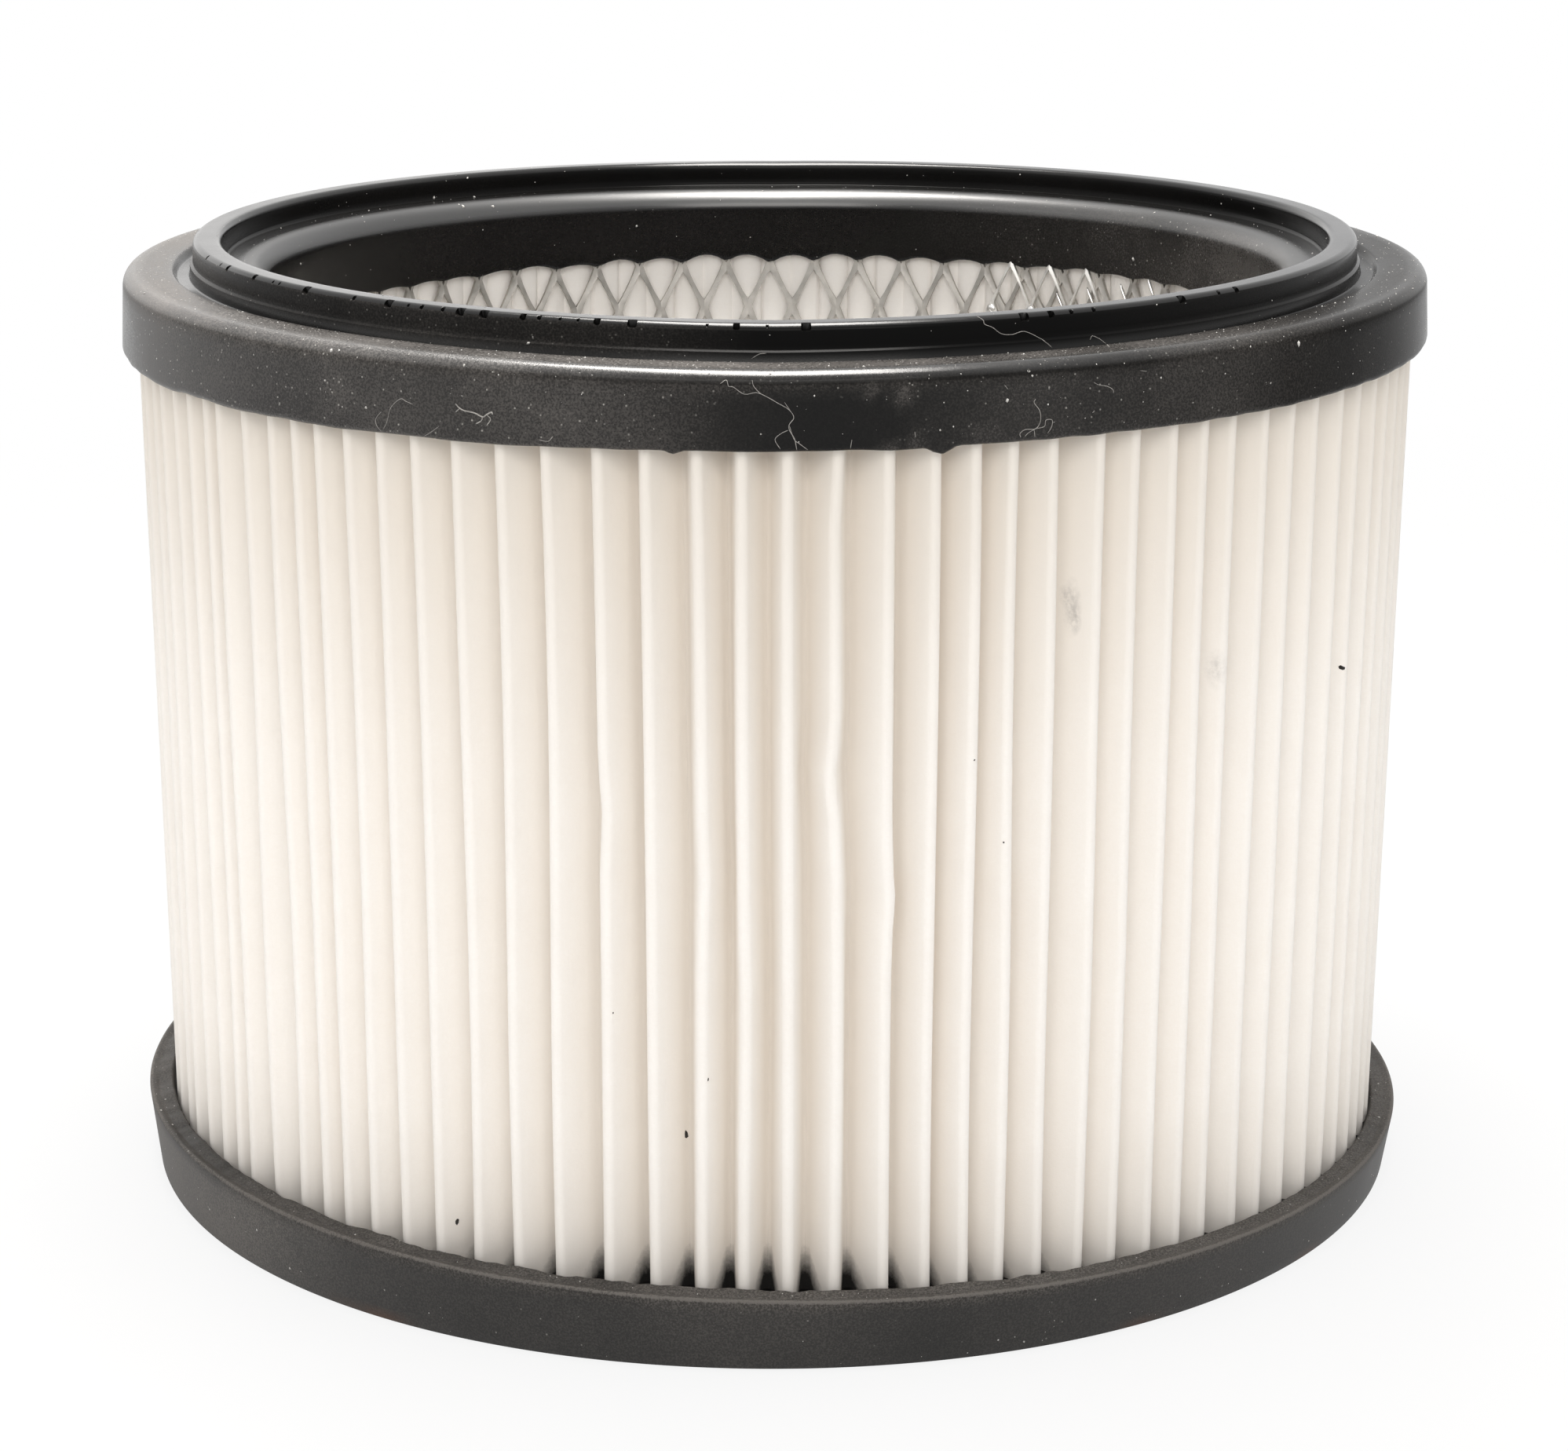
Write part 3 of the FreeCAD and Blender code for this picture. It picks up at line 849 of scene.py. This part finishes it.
def fold_lines():
    """Heights of the mesh's rows, and bearings of crests and valleys and radii of the tips along them."""
    crests = crest_bearings()
    kinks = [(*pixel_on_folds(column, row), shift, reach) for column, row, shift, reach in KINKS]
    rows = [MEDIA_BOTTOM + np.array(FOOT_ROWS), MEDIA_TOP - np.array(HEAD_ROWS)]
    rows.append(np.linspace(MEDIA_BOTTOM + FOOT_HEIGHT, MEDIA_TOP + POTTED, EVEN_ROWS))
    rows += [height + reach * np.array(KINK_ROWS) for _, height, _, reach in kinks[:SHARP_KINKS]]
    rows = np.sort(np.concatenate(rows))
    rise = (rows - MEDIA_BOTTOM) / (MEDIA_TOP - MEDIA_BOTTOM)
    upper = rise - DRIFT_START

    sway = rng.normal(0, FOLD_SWAY, (PLEAT_COUNT, 3))
    bend = sway[:, :1] * np.sin(math.pi * rise) + sway[:, 1:2] * np.sin(2 * math.pi * rise)
    crest = crests[:, None] + bend + sway[:, 2:] * upper - TOP_DRIFT * np.maximum(upper, 0)
    tip = TIP_BOTTOM + (TIP_TOP - TIP_BOTTOM) * rise + rng.normal(0, TIP_JITTER, (PLEAT_COUNT, 1))
    tip = np.minimum(tip, TIP_TOP + 0.15)
    for bearing, height, shift, reach in kinks:
        fold = np.argmin(np.abs(half_turn(crests - bearing)))
        sharp_bend = hump(rows, height, reach, 1.5)
        crest[fold] += shift / TIP_TOP * sharp_bend
        tip[fold] -= KINK_DENT * abs(shift) * sharp_bend
    following = np.roll(crest, -1, axis=0)
    following[-1] += TURN
    valley = (crest + following) / 2 + rng.normal(0, VALLEY_JITTER, (PLEAT_COUNT, 1))
    facing = half_turn(valley)
    valley -= VALLEY_LEAN * np.tanh(facing / LEAN_TURNS) * np.cos(facing / 2) ** 2
    return rows, crest, valley, tip


def pleat_pack():
    rows, crest, valley, tip = fold_lines()
    half_sheet = MEDIA_THICKNESS / 2
    spacing = (valley - np.roll(valley, 1, axis=0)) % TURN * (ROOT_RADIUS + ROOT_DEPTH)
    root_left = spacing / 2 - ROOT_GAP
    root_right = np.roll(root_left, -1, axis=0)

    # Middle line of the sheet: round crests, flanks that lean together at the necks, round roots
    nose_round = NOSE_HALF - half_sheet
    nose = outward(crest) * (tip - NOSE_HALF)[..., None]
    root = outward(valley) * (ROOT_RADIUS + ROOT_DEPTH + half_sheet)
    across = onward(valley)

    def beside_valley(depth, half_width):
        """Points right of each crest and left of it, at a depth and half width of the valleys."""
        middle = outward(valley) * (tip - depth)[..., None]
        aside = (half_width + half_sheet) * across
        return middle - aside, np.roll(middle + aside, 1, axis=0)

    right_neck, left_neck = beside_valley(NECK_DEPTH, NECK_HALF)
    right_shoulder, left_shoulder = beside_valley(SHOULDER_DEPTH, SHOULDER_HALF)

    def flank_normal(run, side):
        length = norm(run, axis=-1, keepdims=True)
        run = run / length
        sine = nose_round / length
        return run * sine + side * np.stack([run[..., 1], -run[..., 0]], axis=-1) * np.sqrt(1 - sine**2)

    leaving = flank_normal(right_shoulder - nose, 1)
    arriving = flank_normal(nose - left_shoulder, -1)

    def arc(centre, first, last, size, steps):
        begin = np.arctan2(first[..., 1], first[..., 0])
        sweep = (np.arctan2(last[..., 1], last[..., 0]) - begin) % TURN
        angles = begin[..., None] + sweep[..., None] * np.linspace(0, 1, steps + 1)
        return centre[..., None, :] + size * np.stack([np.cos(angles), np.sin(angles)], axis=-1)

    def surface(offset):
        """One side of the sheet, at an offset from its middle line."""
        front = arc(nose, -arriving, leaving, nose_round + offset, NOSE_STEPS)
        sweep = np.linspace(0, math.pi, ROOT_STEPS + 1)[:, None]
        reach = np.where(np.cos(sweep[:, 0]) > 0, root_left[..., None], root_right[..., None])
        aside = -np.cos(sweep) * (reach - half_sheet - offset)[..., None] * across[..., None, :]
        inward = np.sin(sweep) * (ROOT_DEPTH - offset) * outward(valley)[..., None, :]
        fold = root[..., None, :] + aside - inward
        right_bend = right_neck + offset * across
        left_bend = left_neck - offset * np.roll(across, 1, axis=0)
        right_turn = right_shoulder + offset * leaving
        left_turn = left_shoulder - offset * arriving
        columns = [front, right_turn[..., None, :], right_bend[..., None, :], fold]
        columns += [np.roll(side, -1, axis=0)[..., None, :] for side in (left_bend, left_turn)]
        ring = np.concatenate(columns, axis=2)
        ring = ring.transpose(1, 0, 2, 3).reshape(len(rows), -1, 2)
        return np.concatenate([ring, np.repeat(rows[:, None, None], ring.shape[1], axis=1)], axis=2)

    outside = surface(half_sheet)
    inside = surface(-half_sheet)
    count, columns = outside.shape[:2]
    total = count * columns
    faces = lattice_faces(count, columns)
    faces += [face[::-1] for face in lattice_faces(count, columns, first=total)]
    here = np.arange(columns)
    ahead = (here + 1) % columns
    top = (count - 1) * columns
    faces += np.stack([top + here, top + ahead, total + top + ahead, total + top + here], axis=1).tolist()
    faces += np.stack([ahead, here, total + here, total + ahead], axis=1).tolist()
    points = np.concatenate([outside.reshape(-1, 3), inside.reshape(-1, 3)])
    piece = make_piece("pleat_pack", points, faces, MEDIA, ["pleated_media"], sharp=70)
    tips = np.tile(np.repeat(tip.T, columns // PLEAT_COUNT, axis=1).ravel(), 2)
    paint_pleats(piece, points, tips - np.hypot(points[:, 0], points[:, 1]))
    seam_glue(outside, valley[:, 0])
    return piece


def paint_pleats(piece, points, depth):
    """Polyurethane soaked up at the foot with painted shadow, and painted shade at the foot, near the caps
    and in the valleys.
    """
    bearing = np.arctan2(points[:, 0], -points[:, 1])
    foot = points[:, 2] - MEDIA_BOTTOM - lip_rise(points[:, 0])
    # Polyurethane wicked into the foot, with painted shadow: the dark rises higher in the deep valleys, most
    # at the front
    wick_and_shadow = 1.25 * (depth - 4.0) - 3.0 * (1 - hump(bearing, 0, math.radians(18)))
    paint(piece, "soak_and_shadow", 0.45 + (np.minimum(wick_and_shadow, 2.2) - foot) / 7)
    # Painted shade: grey darkening of the media at its foot, next to the bottom cap
    paint(piece, "foot_shade", 0.3 * np.exp(-np.maximum(foot + 1, 0) / 4))
    outer = fade(depth, 12, 8)
    # Painted shade in the valleys: darker with depth on the outer faces, strongest at the front
    dust_and_shade = 0.35 + 0.65 * hump(bearing, 0, math.radians(22))
    paint(piece, "deep", dust_and_shade * fade(depth, 0, SHOULDER_DEPTH) ** 1.25 * outer)
    # Painted shade on the outer faces: darker towards the top under the top cap and towards the foot
    paint(piece, "cap_shade", (fade(points[:, 2], 72, 118) ** 1.3 + 0.5 * fade(points[:, 2], 30, 12)) * outer)


def seam_glue(outside, valley):
    """Glue that closes the sheet into a ring, in the valley at the seam."""
    columns = outside.shape[1]
    seam = np.argmin(np.abs(half_turn(valley - math.radians(SEAM_BEARING))))
    first = seam * (columns // PLEAT_COUNT) + NOSE_STEPS + 2
    bead = outside[:, first:first + ROOT_STEPS + 3]
    middle = bead.mean(axis=1, keepdims=True)
    bead = middle + (bead - middle) * GLUE_SHRINK
    faces = tube_faces(*bead.shape[:2])
    make_piece("seam_glue_strip", bead, faces, GLUE, ["side_seam_glue"], sharp=50)


# Expanded-metal cage

def cage_layer(cells, radius, bearing_shift, height_shift):
    """Points and faces of a sheet of diamond openings; cells are (column, row), rows half a cell apart."""
    cell_angle = TURN / CAGE_COLUMNS
    half_height = CELL_HEIGHT / 2
    corner = [(4, 0), (3, 1), (2, 2), (1, 3), (0, 4), (-1, 3), (-2, 2), (-3, 1)]
    ring = corner + [(-x, -y) for x, y in corner]
    points, index, faces, edges = [], {}, [], {}

    def vertex(key, bearing, height, lift, side):
        if key not in index:
            index[key] = len(points)
            level = radius + lift + side * STRAND_THICKNESS / 2
            points.append(place(bearing + bearing_shift, level, height + height_shift))
        return index[key]

    for column, row in cells:
        middle = (column + 0.5 * (row % 2)) * cell_angle
        level = row * half_height
        base = (8 * column + 4 * (row % 2), 4 * row)
        loops = {}
        for side in (1, -1):
            rim, hole = [], []
            for number, (x, y) in enumerate(ring):
                key = ((base[0] + x) % (8 * CAGE_COLUMNS), base[1] + y, side)
                rim.append(vertex(key, middle + x / 8 * cell_angle, level + y / 4 * half_height, 0, side))
                size = abs(x / 4) ** OPENING_POWER + abs(y / 4) ** OPENING_POWER
                size = OPENING_SHARE / size ** (1 / OPENING_POWER)
                lift = -STRAND_TILT * y / 4
                spot = (middle + size * x / 8 * cell_angle, level + size * y / 4 * half_height)
                hole.append(vertex((column, row, number, side), *spot, lift, side))
            loops[side] = (rim, hole)
        count = len(ring)
        for k in range(count):
            n = (k + 1) % count
            (rim, hole), (back_rim, back_hole) = loops[1], loops[-1]
            faces.append([rim[k], rim[n], hole[n], hole[k]])
            faces.append([back_rim[n], back_rim[k], back_hole[k], back_hole[n]])
            faces.append([hole[k], hole[n], back_hole[n], back_hole[k]])
            if (rim[n], rim[k]) in edges:
                del edges[(rim[n], rim[k])]
            else:
                edges[(rim[k], rim[n])] = (back_rim[k], back_rim[n])
    for (a, b), (c, d) in edges.items():
        faces.append([b, a, c, d])
    return np.array(points), faces


def support_cage():
    low = math.ceil((1 - CAGE_LIFT) / (CELL_HEIGHT / 2) + 1)
    high = math.floor((CAGE_TOP - CAGE_LIFT) / (CELL_HEIGHT / 2) - 1)
    cells = [(column, row) for row in range(low, high + 1) for column in range(CAGE_COLUMNS)]
    points, faces = cage_layer(cells, CAGE_RADIUS, CAGE_TURN, CAGE_LIFT)
    first = round(math.radians(LAP_FIRST) / (TURN / CAGE_COLUMNS))
    last = round(math.radians(LAP_LAST) / (TURN / CAGE_COLUMNS))
    lap_cells = [(column, row) for row in range(low + 1, high) for column in range(first, last)]
    shift = LAP_SHIFT * TURN / CAGE_COLUMNS
    lap_points, lap_faces = cage_layer(lap_cells, LAP_RADIUS, shift, CAGE_LIFT + LAP_LIFT)
    make_piece("expanded_cage", points, faces, ZINC, ["support_cage"], sharp=35)
    # The lap's paler zinc is a painted highlight on its doubled strands
    make_piece("cage_lap", lap_points, lap_faces, LAP_ZINC_HIGHLIGHT, sharp=35)


# Weld marks on the lap of the cage

def weld_nuggets_and_highlights():
    """Flat domes that face the axis: round weld nuggets down the lap, and bright streaks that are painted
    highlights on its strands.
    """
    points, faces = [], []
    turn = np.linspace(0, TURN, 10, endpoint=False)
    marks = []
    for column, row in WELD_PIXELS:
        bearing, height = pixel_on_cylinder(column, row, LAP_RADIUS, far=True)
        marks += [(bearing, height - step * CELL_HEIGHT, *NUGGET) for step in range(WELD_ROWS)]
    # Painted highlights on the lap's strands, drawn as pale metal streaks
    for column, row in STREAK_PIXELS:
        marks.append((*pixel_on_cylinder(column, row, LAP_RADIUS, far=True), *STREAK))
    for bearing, height, long, wide, tilt in marks:
        first = len(points)
        for share, lift in (*DOME_RINGS, (0.0, 1.0)):
            for angle in turn if share else turn[:1]:
                x, y = share * long * math.cos(angle), share * wide * math.sin(angle)
                along = x * math.cos(tilt) - y * math.sin(tilt)
                up = x * math.sin(tilt) + y * math.cos(tilt)
                radius = LAP_RADIUS - DOME_GAP - DOME_RISE * lift
                points.append(place(bearing + along / LAP_RADIUS, radius, height + up))
        faces += lattice_faces(len(DOME_RINGS), len(turn), first=first)
        last = first + (len(DOME_RINGS) - 1) * len(turn)
        faces += [[last + k, last + (k + 1) % len(turn), len(points) - 1] for k in range(len(turn))]
        faces.append(list(range(first, first + len(turn)))[::-1])
    make_piece("weld_nuggets_and_highlights", np.array(points), faces, WELD_AND_HIGHLIGHT)


# Lint, dust and specks, which lie on the settled pieces

def surface_tree(piece):
    mesh = piece.data
    corners = [vertex.co for vertex in mesh.vertices]
    return BVHTree.FromPolygons(corners, [face.vertices for face in mesh.polygons])


def pixel_hit(tree, column, row):
    """Point in millimetres and normal where a pixel's ray meets a piece, or None."""
    point, normal, _, _ = tree.ray_cast(Vector(CAMERA_PLACE * MM), Vector(pixel_ray(column, row)))
    return None if point is None else (np.array(point) / MM, np.array(normal))


def smooth_path(path):
    """Points of a smooth curve that passes through the points of a path."""
    knots = np.concatenate([2 * path[:1] - path[1:2], path, 2 * path[-1:] - path[-2:-1]])
    fine = []
    for a, b, c, d in zip(knots, knots[1:], knots[2:], knots[3:]):
        for t in (0, 0.25, 0.5, 0.75):
            bend = (2 * a - 5 * b + 4 * c - d) * t**2 + (3 * b - a - 3 * c + d) * t**3
            fine.append(b + 0.5 * ((c - a) * t + bend))
    return fine + [path[-1]]


def lint_fibres(cap):
    """Fine fibres that cling to the top cap."""
    tree = surface_tree(cap)
    turn = np.linspace(0, TURN, 5, endpoint=False)
    points, faces = [], []
    for width, path in LINT_PATHS:
        path = smooth_path(np.array(path, float))
        hits = [hit for hit in (pixel_hit(tree, *pixel) for pixel in path) if hit]
        spots = np.array([point for point, _ in hits])
        normals = np.array([normal for _, normal in hits])
        radius = width / 2 * np.linspace(0.9, 1.1, len(spots))
        radius[[0, -1]] *= 0.4
        ahead = np.gradient(spots, axis=0)
        ahead /= norm(ahead, axis=1)[:, None] + 1e-9
        side = np.cross(ahead, normals)
        side /= norm(side, axis=1)[:, None] + 1e-9
        rise = np.cross(side, ahead)
        first = len(points)
        for spot, normal, a, b, size in zip(spots, normals, side, rise, radius):
            for angle in turn:
                points.append(spot + 0.8 * size * normal + size * (math.cos(angle) * a + math.sin(angle) * b))
        faces += tube_faces(len(spots), len(turn), first)
    make_piece("lint_fibres", np.array(points), faces, LINT, settled=True)


def scatter(name, spots, normals, sizes, stretch, material, along=None):
    """Small uneven grains half sunk in a surface, stretched along given directions or any."""
    count = len(spots)
    side = np.cross(np.cross(normals, rng.normal(0, 1, (count, 3)) if along is None else along), normals)
    side /= norm(side, axis=1)[:, None]
    across = np.cross(normals, side)
    corners = [(math.cos(k * TURN / 6), math.sin(k * TURN / 6), 0) for k in range(6)]
    corners = np.array(corners + [(0.1, 0.1, 0.7), (0, 0, -0.5)])
    rough = corners[None] * rng.uniform(0.7, 1.25, (count, 8, 1)) * sizes[:, None, None]
    rough[..., 0] *= np.reshape(stretch, (-1, 1))
    points = spots[:, None] + rough @ np.stack([side, across, normals], axis=1)
    cell = np.array([(k, (k + 1) % 6, 6) for k in range(6)] + [((k + 1) % 6, k, 7) for k in range(6)])
    faces = (cell[None] + 8 * np.arange(count)[:, None, None]).reshape(-1, 3).tolist()
    return make_piece(name, points, faces, material, settled=True)


def cap_dust(name, cap, count, weight):
    """Dust grains over a cap, thicker where weight says so from radius, height and upward slope."""
    mesh = cap.data
    total = len(mesh.polygons)
    centre, normal, area = np.empty(3 * total), np.empty(3 * total), np.empty(total)
    mesh.polygons.foreach_get("center", centre)
    mesh.polygons.foreach_get("normal", normal)
    mesh.polygons.foreach_get("area", area)
    centre = centre.reshape(-1, 3) / MM
    normal = normal.reshape(-1, 3)
    chance = area * weight(np.hypot(centre[:, 0], centre[:, 1]), centre[:, 2], normal[:, 2])
    chosen = rng.choice(total, count, p=chance / chance.sum())
    loose = rng.uniform(-GRAIN_STRAY, GRAIN_STRAY, (count, 3))
    loose -= np.sum(loose * normal[chosen], axis=1)[:, None] * normal[chosen]
    sizes = np.clip(rng.lognormal(math.log(GRAIN_SIZE), GRAIN_SPREAD, count), *GRAIN_LIMITS)
    scatter(name, centre[chosen] + loose, normal[chosen], sizes, np.ones(count), DUST)


def top_dust(radius, height, slope):
    up = np.clip(slope, 0, 1)
    outer = (radius > 84) * (0.3 + 2.5 * up) + (radius < 80) * (0.15 + 0.5 * up) + 0.15
    return outer * (height < CREST - 0.6) * (slope > -0.3)


def bottom_dust(radius, height, slope):
    return ((radius > 88.5) & (radius < 92.6) & (slope > -0.3)) * (0.5 + 1.5 * np.clip(slope, 0, 1))


def pixel_specks(name, piece, specks, material):
    """Single specks where the photo shows them."""
    tree = surface_tree(piece)
    found = [(pixel_hit(tree, *speck[:2]), *speck[2:]) for speck in specks]
    found = [speck for speck in found if speck[0]]
    spots, normals = (np.array([speck[0][k] for speck in found]) for k in (0, 1))
    sizes, stretch, lean = (np.array([speck[k] for speck in found]) for k in (1, 2, 3))
    lean = np.radians(lean)
    along = np.stack([np.sin(lean), 0 * lean, np.cos(lean)], axis=1)
    scatter(name, spots, normals, sizes, stretch, material, along)


# Studio

def studio():
    """Pale floor, white surroundings and large soft lamps."""
    mesh = bpy.data.meshes.new("floor")
    corners = [(x * FLOOR_REACH, y * FLOOR_REACH, 0) for x, y in ((-1, -1), (1, -1), (1, 1), (-1, 1))]
    mesh.from_pydata(corners, [], [(0, 1, 2, 3)])
    floor = bpy.data.objects.new("floor", mesh)
    floor.location.z = -FLOOR_DROP
    scene.collection.objects.link(floor)
    look = Surface("studio_floor")
    cloud = look.ramp(look.noise(9, 2), 0.3, 0.7)
    paper = look.mix(cloud, (0.49, 0.49, 0.49, 1), (0.52, 0.52, 0.52, 1))
    rough = look.ramp(look.noise(40), 0.3, 0.7, 0.85, 0.95)
    look.finish(Base_Color=paper, Roughness=rough, Specular_IOR_Level=0.0)
    white = look.add("ShaderNodeEmission", {"Color": WHITE, "Strength": 1.0}).outputs[0]
    fading = look.ramp(look.length(look.place), 0.25, 0.6, FLOOR_WHITE, 1.0)
    share = look.math("MULTIPLY", look.seen(), fading)
    join = look.add("ShaderNodeMixShader", {0: share, 1: look.shader.outputs[0], 2: white})
    look.tree.links.new(join.outputs[0], look.tree.nodes["Material Output"].inputs["Surface"])
    mesh.materials.append(look.material)

    world = bpy.data.worlds.new("studio_surroundings")
    world.use_nodes = True
    scene.world = world
    nodes = Nodes(world.node_tree)
    backdrop = nodes.tree.nodes["Background"].inputs
    nodes.feed(backdrop["Color"], WHITE)
    nodes.feed(backdrop["Strength"], nodes.ramp(nodes.seen(), 0.0, 1.0, AMBIENT, 1.0))

    for name, spot, size, power in LAMPS:
        lamp = bpy.data.lights.new(name, "AREA")
        lamp.shape = "RECTANGLE"
        lamp.size, lamp.size_y = size
        lamp.energy = power
        lamp.color = LAMP_TINT
        holder = bpy.data.objects.new(name, lamp)
        holder.location = spot
        holder.rotation_euler = (Vector(LAMP_AIM) - Vector(spot)).to_track_quat("-Z", "Y").to_euler()
        holder.visible_camera = False
        scene.collection.objects.link(holder)


def camera():
    lens = bpy.data.cameras.new("photo_camera")
    lens.sensor_width = SENSOR_WIDTH
    lens.lens = SENSOR_WIDTH * FOCAL_PIXELS / PHOTO_WIDTH
    lens.shift_x = (PHOTO_WIDTH / 2 - AXIS_COLUMN) / PHOTO_WIDTH
    lens.clip_start = 0.01
    holder = bpy.data.objects.new("photo_camera", lens)
    holder.location = CAMERA_PLACE * MM
    holder.rotation_euler = Vector(CAMERA_FORWARD).to_track_quat("-Z", "Y").to_euler()
    scene.collection.objects.link(holder)
    scene.camera = holder


camera()
upper = top_cap()
lower = bottom_cap()
pack = pleat_pack()
support_cage()
weld_nuggets_and_highlights()
lint_fibres(upper)
cap_dust("top_cap_dust", upper, TOP_GRAINS, top_dust)
cap_dust("bottom_cap_dust", lower, BOTTOM_GRAINS, bottom_dust)
pixel_specks("ledge_specks", upper, LEDGE_SPECKS, DUST)
pixel_specks("pleat_specks", pack, PLEAT_SPECKS, SOOT)
studio()

scene.view_settings.view_transform = "Standard"
scene.cycles.diffuse_bounces = 10
